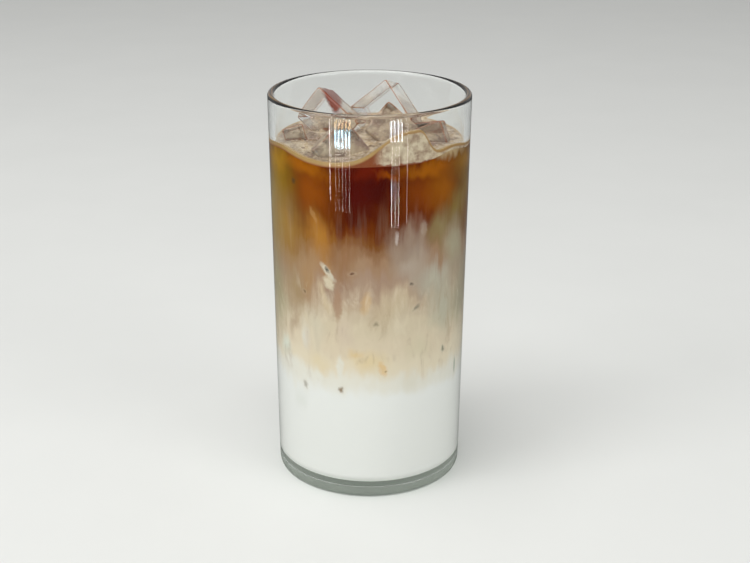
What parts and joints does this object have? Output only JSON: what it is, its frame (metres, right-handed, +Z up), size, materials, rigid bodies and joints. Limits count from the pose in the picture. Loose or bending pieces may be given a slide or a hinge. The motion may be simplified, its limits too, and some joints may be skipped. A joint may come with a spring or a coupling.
{
  "type": "iced latte in a glass",
  "caption": "Iced latte in a tall straight clear glass: milk below, coffee above, a thin foam cap and ice standing out at the mouth.",
  "frame": {"origin": "centre of the glass's base, on the surface it stands on", "axes": "+Z up through the glass; the pictured side faces -Y, and +X is to the right of it"},
  "size_m": [0.075, 0.075, 0.15],
  "materials": {
    "clear_glass": "clear polished soda glass with a faint green edge",
    "milk": "white whole milk",
    "latte": "coffee mixing into milk, pinkish brown with pale clouds",
    "coffee": "dark brewed coffee, amber at its edges",
    "foam": "pale tan bubbly froth",
    "ice": "clear wet ice, faintly tinted by the coffee"
  },
  "bodies": {
    "root": {"glass": "clear_glass", "milk": "milk", "latte": "latte", "coffee": "coffee", "foam": "foam", "ice_back": "ice", "ice_left": "ice", "ice_right": "ice", "ice_front": "ice", "ice_middle": "ice", "ice_side": "ice", "ice_edge": "ice"}
  },
  "joints": []
}
